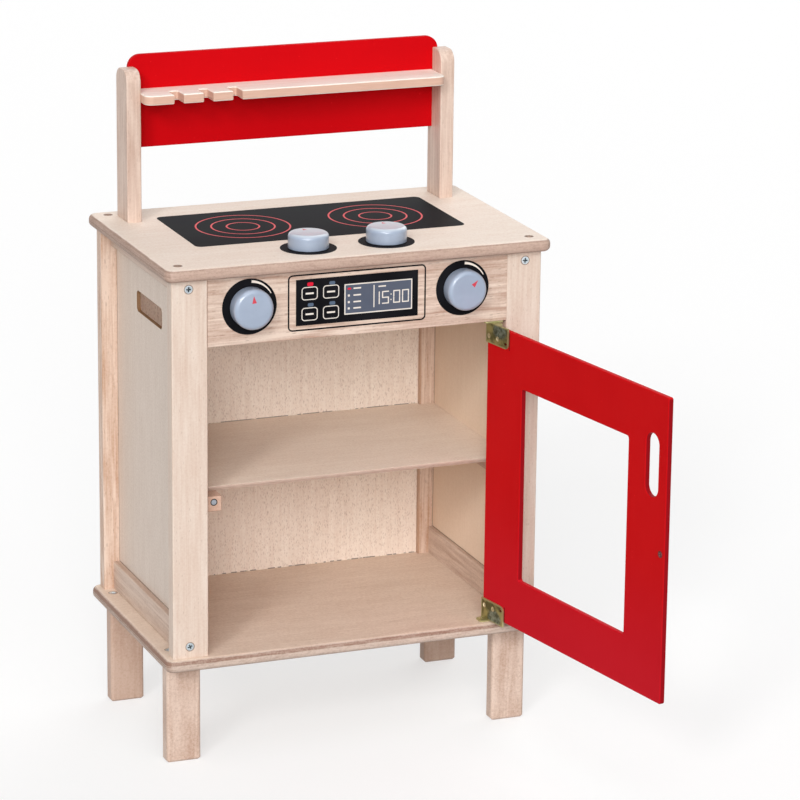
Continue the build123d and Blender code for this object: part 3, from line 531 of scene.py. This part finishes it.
def control_finish():
    """Black control panel: four buttons with lamps above them and a clock in a grey display."""
    finish, ink, grain = black_film("control_print")
    x, z = finish.x, finish.z

    def box(left, right, bottom, top, radius=0.0):
        middle = ((left + right) / 2 * MM, (bottom + top) / 2 * MM)
        size = ((right - left) * MM, (top - bottom) * MM)
        return from_box(x - middle[0], z - middle[1], *size, radius * MM)

    def joined(distances):
        shape = distances[0]
        for distance in distances[1:]:
            shape = shape & distance
        return shape

    def around(middles, wide, high, radius):
        """Boxes that reach this far to each side of their middles."""
        return joined([box(cx - wide, cx + wide, cz - high, cz + high, radius) for cx, cz in middles])

    keys = [(cx, cz) for cx in (-53.8, -30.8) for cz in (494.7, 473.2)]
    buttons = around(keys, 8.2, 6.4, 3)
    labels = around(keys, 4.4, 0.9, 0.4)
    red_lamp = box(-56.4, -50.0, 502.3, 506.2, 1.2)
    grey_lamps = around([(-29.6, 503.7), (-52.7, 482.8), (-29.4, 482.7)], 3.1, 1.8, 1.4)
    display = box(-15.8, 56.7, 469.7, 500.4)
    divider = box(15.1, 16.2, 474.4, 497.6)
    rows = (496.0, 488.9, 482.0, 475.4)
    bullets = around([(-11.6, row) for row in rows[1:]], 1.1, 1.1, 0.4)
    red_bullet = box(-12.9, -9.2, 495.0, 497.0, 0.8)
    entry_bars = joined([box(-6.6, 1.6, row - 0.75, row + 0.75, 0.3) for row in rows])
    title_bar = box(20.4, 28.6, 495.0, 496.4, 0.3)

    def segment(left, right, bottom, top):
        return box(left, right, bottom, top, 0.55)

    def digit(left, parts):
        """Seven-segment digit: the named parts of a figure eight, 7.6 wide and 13.4 high."""
        right, low, middle, high = left + 7.6, 477.0, 483.7, 490.4
        strokes = {
            "a": (left, right, high - 1.2, high),
            "b": (right - 1.2, right, middle, high),
            "c": (right - 1.2, right, low, middle),
            "d": (left, right, low, low + 1.2),
            "e": (left, left + 1.2, low, middle),
            "f": (left, left + 1.2, middle, high),
            "g": (left, right, middle - 0.6, middle + 0.6),
        }
        return [segment(*strokes[part]) for part in parts]

    clock = joined(
        digit(14.4, "bc")
        + digit(24.4, "afgcd")
        + [segment(33.6, 34.9, 480.2, 481.5), segment(33.6, 34.9, 485.9, 487.2)]
        + digit(36.6, "abcdef")
        + digit(46.2, "abcdef")
    )
    pale = (abs(buttons) - 0.45 * MM) & labels & (abs(display) - 0.6 * MM) & divider
    pale = pale & bullets & entry_bars & title_bar & clock
    sheen = finish.noise((40, 40, 40), 2.0)
    glass = finish.mix(sheen, screen_colour(81, 88, 104), screen_colour(94, 100, 114))
    colour = finish.mix(display.inside(), ink, glass)
    colour = finish.mix(grey_lamps.inside(), colour, screen_colour(88, 104, 124))
    colour = finish.mix((red_lamp & red_bullet).inside(), colour, screen_colour(214, 34, 58))
    colour = finish.mix(pale.inside(), colour, screen_colour(226, 219, 210))
    finish.set(Base_Color=colour)
    return finish.relief(grain * 0.6 + pale.inside() * 0.4, 0.02 * MM)


def knob_finish(name, pivot, on_top, pointer):
    """Satin blue-grey enamel with a slim red triangle that points to the rim.

    A knob on the worktop has painted light that makes it paler towards its top face.
    """
    finish = Finish(name, Coat_Weight=1.0, Coat_Roughness=0.22)
    x, y, z = finish.x - pivot[0] * MM, finish.y - pivot[1] * MM, finish.z - pivot[2] * MM
    side, reach = turned(x, y if on_top else z, pointer)
    height = z if on_top else 0 - y
    base, tip, slope = 7.4 * MM, 15.2 * MM, 0.31
    arrow = ((abs(side) - (tip - reach) * slope) | (base - reach)).inside(0.1 * MM)
    arrow = arrow * height.rise(14.5 * MM, 15 * MM)
    cloud = finish.noise((30, 30, 30), 3.0, 0.55)
    dust = finish.flecks((240, 240, 240), 0.15, 0.14)
    fine = finish.noise((700, 700, 700), 3.0, 0.6)
    deep, pale = screen_colour(145, 158, 178), screen_colour(156, 169, 189)
    enamel = finish.mix(cloud.rise(0.3, 0.75), deep, pale)
    if on_top:
        # Painted light: the top face of a knob on the worktop is paler, as where light falls from above.
        lit = height.rise(14 * MM, 16.6 * MM) * 0.8
        enamel = finish.mix(lit, enamel, screen_colour(194, 204, 214))
    enamel = finish.mix(dust * 0.25, enamel, screen_colour(120, 134, 152))
    colour = finish.mix(arrow, enamel, screen_colour(196, 34, 58))
    finish.set(Base_Color=colour, Roughness=cloud * 0.12 + fine * 0.08 + 0.34)
    return finish.relief(fine * 0.5 + (1 - arrow) * 0.5, 0.05 * MM)


def metal(name, colour, shade, roughness, streak):
    """Plated metal: cloudy plating, fine draw marks and dull spots; painted shade where it is hollow.

    The hollow attribute of a screw's mesh is one at the bottom of its recess and zero outside.
    """
    finish = Finish(name, Metallic=1.0)
    colour, shade = screen_colour(*colour), screen_colour(*shade)
    cloud = finish.noise((140, 140, 140), 3.0, 0.6)
    draw = finish.noise(streak, 3.0, 0.6)
    spots = finish.flecks((420, 420, 420), 0.3, 0.25)
    attribute = finish.node("ShaderNodeAttribute", {"attribute_name": "hollow"})
    hollow = Number(finish, attribute.outputs["Fac"])
    plating = finish.mix(cloud.rise(0.3, 0.75) * 0.8 + spots * 0.3, colour, shade)
    # Painted shade in the screws' recesses, darkest at their bottoms.
    finish.set(
        Base_Color=finish.mix(hollow * 0.6, plating, screen_colour(66, 62, 60)),
        Roughness=draw * 0.22 + cloud * 0.12 + (roughness - 0.16) + spots * 0.12,
    )
    return finish.relief(draw * 0.6 + cloud * 0.4, 0.04 * MM)


def magnet_finish():
    """Bright magnet face in a ring of painted shade, where its recess falls dark."""
    finish = Finish("magnet_steel", Metallic=0.8)
    distance = length_of(finish.x - MAGNET_ASIDE * MM, finish.z - MAGNET_LEVEL * MM)
    cloud = finish.noise((300, 300, 300), 3.0, 0.6)
    # Painted shade: a dark ring round the magnet where its recess lies in shade.
    ring = distance.rise(2.5 * MM, 2.9 * MM)
    face = finish.mix(cloud, screen_colour(186, 192, 200), screen_colour(122, 128, 136))
    colour = finish.mix(ring, face, screen_colour(62, 56, 52))
    finish.set(Base_Color=colour, Roughness=cloud * 0.3 + 0.2)
    return finish.relief(cloud * 0.5 - ring * 0.4 + 0.4, 0.2 * MM)


def hinge_finish():
    """Zinc sheet: yellow with a grey-green bloom towards the plate's side, and a painted highlight along its rim.
    """
    finish = Finish("hinge_zinc", Metallic=0.8)
    along, _, level = leaf_places(finish)
    cloud = finish.noise((200, 200, 200), 3.0, 0.65)
    tint = finish.noise((90, 90, 90), 2.0)
    draw = finish.noise((300, 300, 1800), 3.0, 0.6)
    leaf = from_box(along - LEAF_ALONG * MM, level, LEAF_LENGTH * MM, LEAF_HEIGHT * MM, 3 * MM)
    rim = leaf.rise(-2.2 * MM, -0.8 * MM)
    bloom = length_of(along - 15 * MM, (level - 5 * MM) * 1.5).rise(9 * MM, 15 * MM)
    yellow = finish.mix(
        tint.rise(0.35, 0.65), screen_colour(172, 166, 108), screen_colour(98, 98, 60)
    )
    grey = finish.mix(
        cloud.rise(0.35, 0.65), screen_colour(142, 158, 146), screen_colour(72, 84, 70)
    )
    colour = finish.mix((1 - bloom) * 0.9, yellow, grey)
    # Painted highlight: a pale rim where the leaf's edges catch light.
    colour = finish.mix(rim * 0.75, colour, screen_colour(192, 186, 138))
    finish.set(Base_Color=colour, Roughness=cloud * 0.25 + draw * 0.1 + 0.26)
    return finish.relief(cloud * 0.4 + draw * 0.2 + bloom * 0.4, 0.3 * MM)


def grid_mesh(name, rings, seats, material, body, replaced):
    """Mesh of closed bodies: rings of points between two poles, once for each seat.

    rings has one row of points for each step of the profile. Its first and last rows are a single
    point each, where the surface closes; columns join round the axis. A seat places the body.
    """
    first, last = rings[0][0], rings[-1][0]
    rows, columns = len(rings) - 2, len(rings[1])
    local = np.concatenate([[first], *rings[1:-1], [last]])
    faces = []
    for column in range(columns):
        following = (column + 1) % columns
        faces.append((0, 1 + column, 1 + following))
        for row in range(rows - 1):
            upper, lower = 1 + row * columns, 1 + (row + 1) * columns
            faces.append((upper + column, lower + column, lower + following, upper + following))
        lowest = 1 + (rows - 1) * columns
        faces.append((lowest + column, len(local) - 1, lowest + following))
    points, polygons = [], []
    for number, seat in enumerate(seats):
        turn = np.array(seat.to_3x3())
        points.append(local @ turn.T + np.array(seat.translation))
        polygons += [tuple(number * len(local) + corner for corner in face) for face in faces]
    mesh = bpy.data.meshes.new(name)
    mesh.from_pydata(np.concatenate(points).tolist(), [], polygons)
    mesh.polygons.foreach_set("use_smooth", [True] * len(polygons))
    mesh.set_sharp_from_angle(angle=radians(32))
    mesh.materials.append(material)
    piece = bpy.data.objects.new(name, mesh)
    bpy.context.scene.collection.objects.link(piece)
    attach(piece, body)
    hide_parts(*replaced)
    return piece


def revolved(profile, columns):
    """Rings of a body of revolution: x = r cos a, y = r sin a, z = h for each (r, h)."""
    angles = np.arange(columns) * 2 * pi / columns
    rings = [[(0.0, 0.0, profile[0][1])]]
    for radius, height in profile[1:-1]:
        rings.append(
            np.stack([radius * np.cos(angles), radius * np.sin(angles), np.full(columns, height)], 1)
        )
    rings.append([(0.0, 0.0, profile[-1][1])])
    return rings


def arc_steps(centre, radius, start, stop, steps):
    """Points of an arc about a centre, from one angle in degrees to another."""
    angles = np.radians(np.linspace(start, stop, steps))
    return [(centre[0] + radius * cos(a), centre[1] + radius * sin(a)) for a in angles]


def seat_on(point, outward, up):
    """Seat whose local Z looks outward and whose local Y looks up, at a point in millimetres."""
    outward, up = Vector(outward).normalized(), Vector(up)
    across = up.cross(outward).normalized()
    turn = Matrix((across, outward.cross(across), outward)).transposed().to_4x4()
    return Matrix.Translation(Vector(point) * MM) @ turn


def knob_rings():
    """Knob: a face that falls by a quarter millimetre towards a rim arc, straight side and foot.

    Face height is 17.1 - 0.25 (r / 16.4)^2 above the board, the rim a quarter circle of radius
    4.6, the foot one of 0.8 that starts 0.6 above the board, and the bore 8.1 wide and 9 deep.
    """
    face = [(radius, 17.1 - 0.25 * (radius / 16.4) ** 2) for radius in np.linspace(0, 16.4, 12)]
    rim = [(r, h - 0.25) for r, h in arc_steps((16.4, 12.5), 4.6, 90, 0, 14)[1:]]
    foot = arc_steps((20.2, 1.4), 0.8, 0, -90, 6)
    bore = [(12.0, 0.6), (4.05, 0.6), (4.05, 9.65), (2.0, 9.65), (0.0, 9.65)]
    profile = np.array(face + rim + foot + bore) * MM
    return revolved(profile, 112)


def screw_rings(head, shank, length, crown, dip, brim=None):
    """Cross-recessed screw: its rim at the origin, its point down, and how deep each point lies.

    The head's height is crown (1 - (r / head)^2), and the recess goes down where the point lies
    inside a cross whose arms narrow outwards: depth = dip times head times a smooth step of the
    distance inside the arms. Below lie the cone of 90 degrees, or a flat brim of this height,
    then the shank and its point. The second result is that smooth step, zero off the recess.
    """
    columns = 96
    angles = np.arange(columns) * 2 * pi / columns
    rings = [[(0.0, 0.0, crown - dip * head)]]
    hollows = [[1.0]]
    for radius in np.linspace(0, head * 0.995, 34)[1:]:
        x, y = radius * np.cos(angles), radius * np.sin(angles)
        nearer, farther = np.minimum(abs(x), abs(y)), np.maximum(abs(x), abs(y))
        beside, before = 0.19 * head - nearer + 0.05 * (head - farther), (0.66 * head - farther) * 0.8
        arm = np.minimum(beside, before)
        step = np.clip(arm / (0.2 * head), 0, 1)
        step = step**2 * (3 - 2 * step)
        rings.append(np.stack([x, y, crown * (1 - (radius / head) ** 2) - dip * head * step], 1))
        hollows.append(step)
    if brim is None:
        neck = [(head, -0.06), (shank, shank - head)]
    else:
        neck = [(head, -brim), (shank, -brim - 0.02)]
    below = [*neck, (shank, 2 * shank - length), (0.0, -length)]
    rings += revolved([(0.0, 0.0), *below], columns)[1:]
    hollows += [[0.0] * len(ring) for ring in rings[len(hollows):]]
    return [np.array(ring) * MM for ring in rings], np.concatenate(hollows)


def screw_set(name, screw, places, outward, up, body, replaced, steel=None):
    """Screws at their places, each with its cross turned by its own angle."""
    rings, hollow = screw
    seats = []
    for number, (place, look) in enumerate(zip(places, outward)):
        turn = Matrix.Rotation(radians((number * 67 + 20) % 90), 4, "Z")
        seats.append(seat_on(place, look, up) @ turn)
    steel = steel or nodes[replaced[0]].data.materials[0]
    piece = grid_mesh(name, rings, seats, steel, body, replaced)
    attribute = piece.data.attributes.new("hollow", "FLOAT", "POINT")
    attribute.data.foreach_set("value", np.tile(hollow, len(seats)))
    return piece


# Woods: the axis of the grain, pale and deep colour, weights of the layers, pores and own detail
WOODS = {
    "rear_post_wood": (
        "Z", (222, 199, 182), (184, 143, 116),
        (0.6, 1.6, 1.0, 1.2, 0.6), (6, 0.7, 0.35, 0.45), rear_post_detail,
    ),
    "post_wood": (
        "Z", (224, 208, 194), (202, 175, 157),
        (0.3, 0.8, 0.8, 0.8, 0.8), (4, 0.7, 0.12, 0.35), post_detail,
    ),
    "leg_wood": (
        "Z", (217, 193, 177), (183, 151, 132),
        (0.5, 0.3, 0.5, 2.2, 1.4), (1.4, 1.1, 0.4, 0.3), leg_detail,
    ),
    "side_rail_wood": (
        "Y", (213, 191, 175), (180, 151, 133),
        (0.4, 1.4, 1.2, 1.2, 1.1), (5, 0.8, 0.25, 0.35), side_rail_detail,
    ),
    "side_panel_wood": (
        "Z", (223, 209, 197), (202, 183, 169),
        (0.1, 0.5, 0.5, 0.5, 1.4), (1.8, 0.9, 0.4, 0.16), side_detail,
    ),
    "back_panel_wood": (
        "Z", (250, 238, 225), (228, 207, 191),
        (0.2, 0.8, 0.6, 0.5, 1.0), (4.2, 1.4, 0.75, 0.3), back_detail,
    ),
    "front_rail_wood": (
        "X", (223, 202, 186), (181, 149, 131),
        (0.6, 1.8, 1.4, 1.2, 0.6), (6, 0.8, 0.35, 0.5),
    ),
    "shelf_wood": (
        "X", (246, 230, 214), (222, 199, 180),
        (0.1, 0.3, 0.3, 0.7, 1.2), (2.4, 0.8, 0.15, 0.3), shelf_detail,
    ),
    # The cleat's darker wood is partly its own tone and partly painted shade from the shelf above it.
    "cleat_wood": (
        "Y", (206, 172, 152), (180, 142, 120),
        (0.4, 1.0, 0.8, 1.2, 0.8), (4, 0.8, 0.15, 0.4),
    ),
    "upright_wood": (
        "Z", (220, 197, 182), (191, 160, 143),
        (0.6, 1.6, 1.0, 1.0, 0.6), (6, 0.7, 0.2, 0.3),
    ),
    "utensil_rail_wood": (
        "X", (246, 242, 234), (231, 219, 206),
        (0.4, 1.2, 0.8, 0.8, 0.6), (5, 0.7, 0.08, 0.3), rail_detail,
    ),
    "dowel_wood": (
        "Z", (226, 198, 168), (196, 158, 126),
        (0.4, 1.0, 1.0, 1.0, 0.6), (3, 0.7, 0.2, 0.4),
    ),
}

# Finishes for the record's material slots; the rear posts and worktop screws have their own
finishes = {name: wood(name, *values) for name, values in WOODS.items()}
finishes |= {
    "worktop_board": board(
        "worktop_board", WORKTOP_TOP, (240, 228, 216), (222, 200, 183), (189, 162, 147),
        (140, 112, 97), (0.9, 2.2, 0.3), (*CORNER_SCREWS, 0, True),
    ),
    "base_board": board(
        "base_board", BASE_TOP, (232, 213, 196), (204, 178, 158), (202, 182, 168),
        (138, 106, 90), (1.5, 4.8, 0.7), (*LEG_SCREWS, LEG_SCREWS_MIDDLE, False),
    ),
    "door_paint": paint("door_paint", (201, 15, 20), (190, 11, 17), True),
    "splash_paint": paint("splash_paint", (200, 4, 14), (190, 3, 12), False),
    "hob_print": hob_finish(),
    "dial_print": dial_finish(),
    "control_print": control_finish(),
    "hinge_zinc": hinge_finish(),
    "hinge_screw_steel": metal(
        "hinge_screw_steel", (226, 218, 184), (186, 176, 138), 0.34, (900, 900, 60)
    ),
    "screw_steel": metal("screw_steel", (216, 226, 230), (156, 168, 176), 0.3, (900, 900, 90)),
    "magnet_steel": magnet_finish(),
    "strike_steel": metal("strike_steel", (136, 84, 84), (92, 50, 52), 0.4, (90, 900, 900)),
}
worktop_screw_steel = metal(
    "worktop_screw_steel", (176, 146, 128), (132, 106, 90), 0.42, (700, 700, 90)
)
for part in frame["record"]["subparts"]:
    slot = "rear_post_wood" if part["node"].startswith("post_rear") else part["material_slot"]
    for material_slot in nodes[part["node"]].material_slots:
        if slot in finishes:
            material_slot.material = finishes[slot]

# Turned knobs, each with its pointer turned clockwise from upright by its own degrees
POINTERS = {"front_knob_left": -4, "front_knob_right": 43, "top_knob_left": -6, "top_knob_right": 2}
for name, pointer in POINTERS.items():
    on_top = name.startswith("top")
    outward, upright = ((0, 0, 1), (0, 1, 0)) if on_top else ((0, -1, 0), (0, 0, 1))
    finish = knob_finish(name + "_enamel", PIVOTS[name], on_top, pointer)
    seat = seat_on(PIVOTS[name], outward, upright)
    grid_mesh(name + "_turned", knob_rings(), [seat], finish, name, [name])

# Screws with cross recesses, in place of the plain ones
frame_screw = screw_rings(head=4.1, shank=1.8, length=45, crown=0.35, dip=0.62)
leaf_screw = screw_rings(head=2.7, shank=1.3, length=5.5, crown=0.2, dip=0.62)
plate_screw = screw_rings(head=2.7, shank=1.3, length=9.5, crown=0.03, dip=0.62)
strike_screw = screw_rings(head=3.5, shank=1.4, length=3.3, crown=0.65, dip=0.2, brim=0.32)
side_places = [
    (x, y, z)
    for x in (-SIDE_SCREW_ASIDE, SIDE_SCREW_ASIDE)
    for y in (FRAME_FRONT, -FRAME_FRONT)
    for z in SIDE_SCREW_HEIGHTS
]
side_looks = [(0, y, 0) for _, y, _ in side_places]
screw_set(
    "side_screw_heads", frame_screw, side_places, side_looks, (0, 0, 1),
    "cabinet", ["side_screws"],
)
ends = (-1, 1)
corner_places = [(x * CORNER_SCREWS[0], y * CORNER_SCREWS[1]) for x in ends for y in ends]
worktop_places = [(x, y, WORKTOP_TOP - CORNER_BORE_DEPTH) for x, y in corner_places]
screw_set(
    "worktop_screw_heads", frame_screw, worktop_places, [(0, 0, 1)] * 4, (0, 1, 0),
    "cabinet", ["worktop_screws"], worktop_screw_steel,
)
base_bottom = corners("base_plate")[0][2]
base_places = [(x, y, base_bottom) for x, y in corner_places]
screw_set(
    "base_screw_heads", frame_screw, base_places, [(0, 0, -1)] * 4, (0, 1, 0),
    "cabinet", ["base_screws"],
)
leg_places = [
    (x * LEG_SCREWS[0], LEG_SCREWS_MIDDLE + y * LEG_SCREWS[1], BASE_TOP) for x in ends for y in ends
]
screw_set(
    "leg_screw_heads", frame_screw, leg_places, [(0, 0, 1)] * 4, (0, 1, 0),
    "cabinet", ["leg_screws"],
)
plate_places = [
    (x, PLATE_SCREWS_BACK, HINGE_MIDDLE + end * PLATE_SCREWS_REACH)
    for x in PLATE_SCREWS_ASIDE
    for end in ends
]
plate_looks = [(0, 0, HINGE_MIDDLE - z) for _, _, z in plate_places]
screw_set(
    "hinge_plate_screw_heads", plate_screw, plate_places, plate_looks, (0, 1, 0),
    "cabinet", ["hinge_plate_screws"],
)
door_inward = Vector((DOOR_ALONG[1], -DOOR_ALONG[0], 0))


def on_door(along, proud, level):
    """Point on the door's inner side: along it from the pivot, off its middle, and up."""
    start = Vector((*PIVOTS["door"][:2], level))
    return start + Vector((*DOOR_ALONG, 0)) * along + door_inward * proud


leaf_screw_places = [
    on_door(along, LEAF_SCREWS_PROUD, HINGE_MIDDLE + end * LEAF_SCREWS_REACH)
    for along in LEAF_SCREWS_ALONG
    for end in ends
]
screw_set(
    "hinge_leaf_screw_heads", leaf_screw, leaf_screw_places, [door_inward] * 4, (0, 0, 1),
    "door", ["hinge_leaf_screws"],
)
strike_place = on_door(PIVOTS["door"][0] - MAGNET_ASIDE, STRIKE_PROUD, MAGNET_LEVEL)
screw_set(
    "door_strike_head", strike_screw, [strike_place], [door_inward], (0, 0, 1),
    "door", ["door_strike"],
)

# Camera at the photograph's place, which was fitted to the object's edges
camera = bpy.data.objects.new("camera", bpy.data.cameras.new("camera"))
bpy.context.scene.collection.objects.link(camera)
camera.data.lens = 177.87
camera.data.sensor_width = 36
camera.data.clip_end = 50
camera_axes = Matrix(
    (
        (0.93035785, -0.36649061, 0.01090382),
        (0.09241914, 0.26318249, 0.96030916),
        (-0.35481399, -0.89242345, 0.27872464),
    )
).transposed()
camera.matrix_world = Matrix.Translation((-1.39065, -3.73697, 1.50148)) @ camera_axes.to_4x4()
bpy.context.scene.camera = camera

# Wide soft lamps: degrees up and to the left of the front, width in degrees, and energy
LAMPS = {
    "top": (80, 30, 40, 0.4),
    "front": (45, 10, 50, 0.75),
    "key": (30, 42, 13, 1.05),
    "low": (18, 20, 24, 1.43),
    "rear": (35, -130, 50, 0.9),
}
for name, (rise, aside, width, energy) in LAMPS.items():
    lamp = bpy.data.lights.new(name, "SUN")
    lamp.energy = energy
    lamp.angle = radians(width)
    holder = bpy.data.objects.new(name, lamp)
    bpy.context.scene.collection.objects.link(holder)
    level = cos(radians(rise))
    towards = Vector((-level * sin(radians(aside)), -level * cos(radians(aside)), sin(radians(rise))))
    holder.rotation_euler = towards.to_track_quat("Z", "Y").to_euler()

# Pale floor, and a white background that only the camera and reflections see
span = 14.0
floor_mesh = bpy.data.meshes.new("floor")
floor_mesh.from_pydata(
    [(x * span, y * span, 0) for x, y in ((-1, -1), (1, -1), (1, 1), (-1, 1))], [], [(0, 1, 2, 3)]
)
floor = bpy.data.objects.new("floor", floor_mesh)
bpy.context.scene.collection.objects.link(floor)
floor_finish = Finish("floor_finish", Roughness=0.9, Specular_IOR_Level=0.1)
ray = floor_finish.node("ShaderNodeLightPath").outputs
seen = Number(floor_finish, ray["Is Camera Ray"]) | Number(floor_finish, ray["Is Glossy Ray"])
floor_finish.set(
    Base_Color=floor_finish.mix(seen, (0.6, 0.6, 0.6, 1), (0.42, 0.42, 0.42, 1)),
    Emission_Color=floor_finish.mix(seen, (0, 0, 0, 1), (0.57, 0.57, 0.57, 1)),
)
floor_finish.shader.inputs["Emission Strength"].default_value = 1.0
floor_mesh.materials.append(floor_finish.material)

world = bpy.data.worlds.new("studio")
bpy.context.scene.world = world
world.use_nodes = True
tree = world.node_tree
tree.nodes.clear()
path = tree.nodes.new("ShaderNodeLightPath").outputs
output = tree.nodes.new("ShaderNodeOutputWorld")
background = tree.nodes.new("ShaderNodeBackground")
background.inputs["Color"].default_value = (1, 1, 1, 1)


def world_math(operation, *values):
    """World number from a Math node on two inputs."""
    node = tree.nodes.new("ShaderNodeMath")
    node.operation = operation
    for socket, value in zip(node.inputs, values):
        if isinstance(value, bpy.types.NodeSocket):
            tree.links.new(value, socket)
        else:
            socket.default_value = value
    return node.outputs[0]


shown = world_math("MAXIMUM", path["Is Camera Ray"], path["Is Glossy Ray"])
shown = world_math("MAXIMUM", shown, path["Is Transmission Ray"])
strength = world_math("ADD", world_math("MULTIPLY", shown, 0.8), 0.2)
tree.links.new(strength, background.inputs["Strength"])
tree.links.new(background.outputs[0], output.inputs["Surface"])

bpy.context.scene.view_settings.view_transform = "Standard"
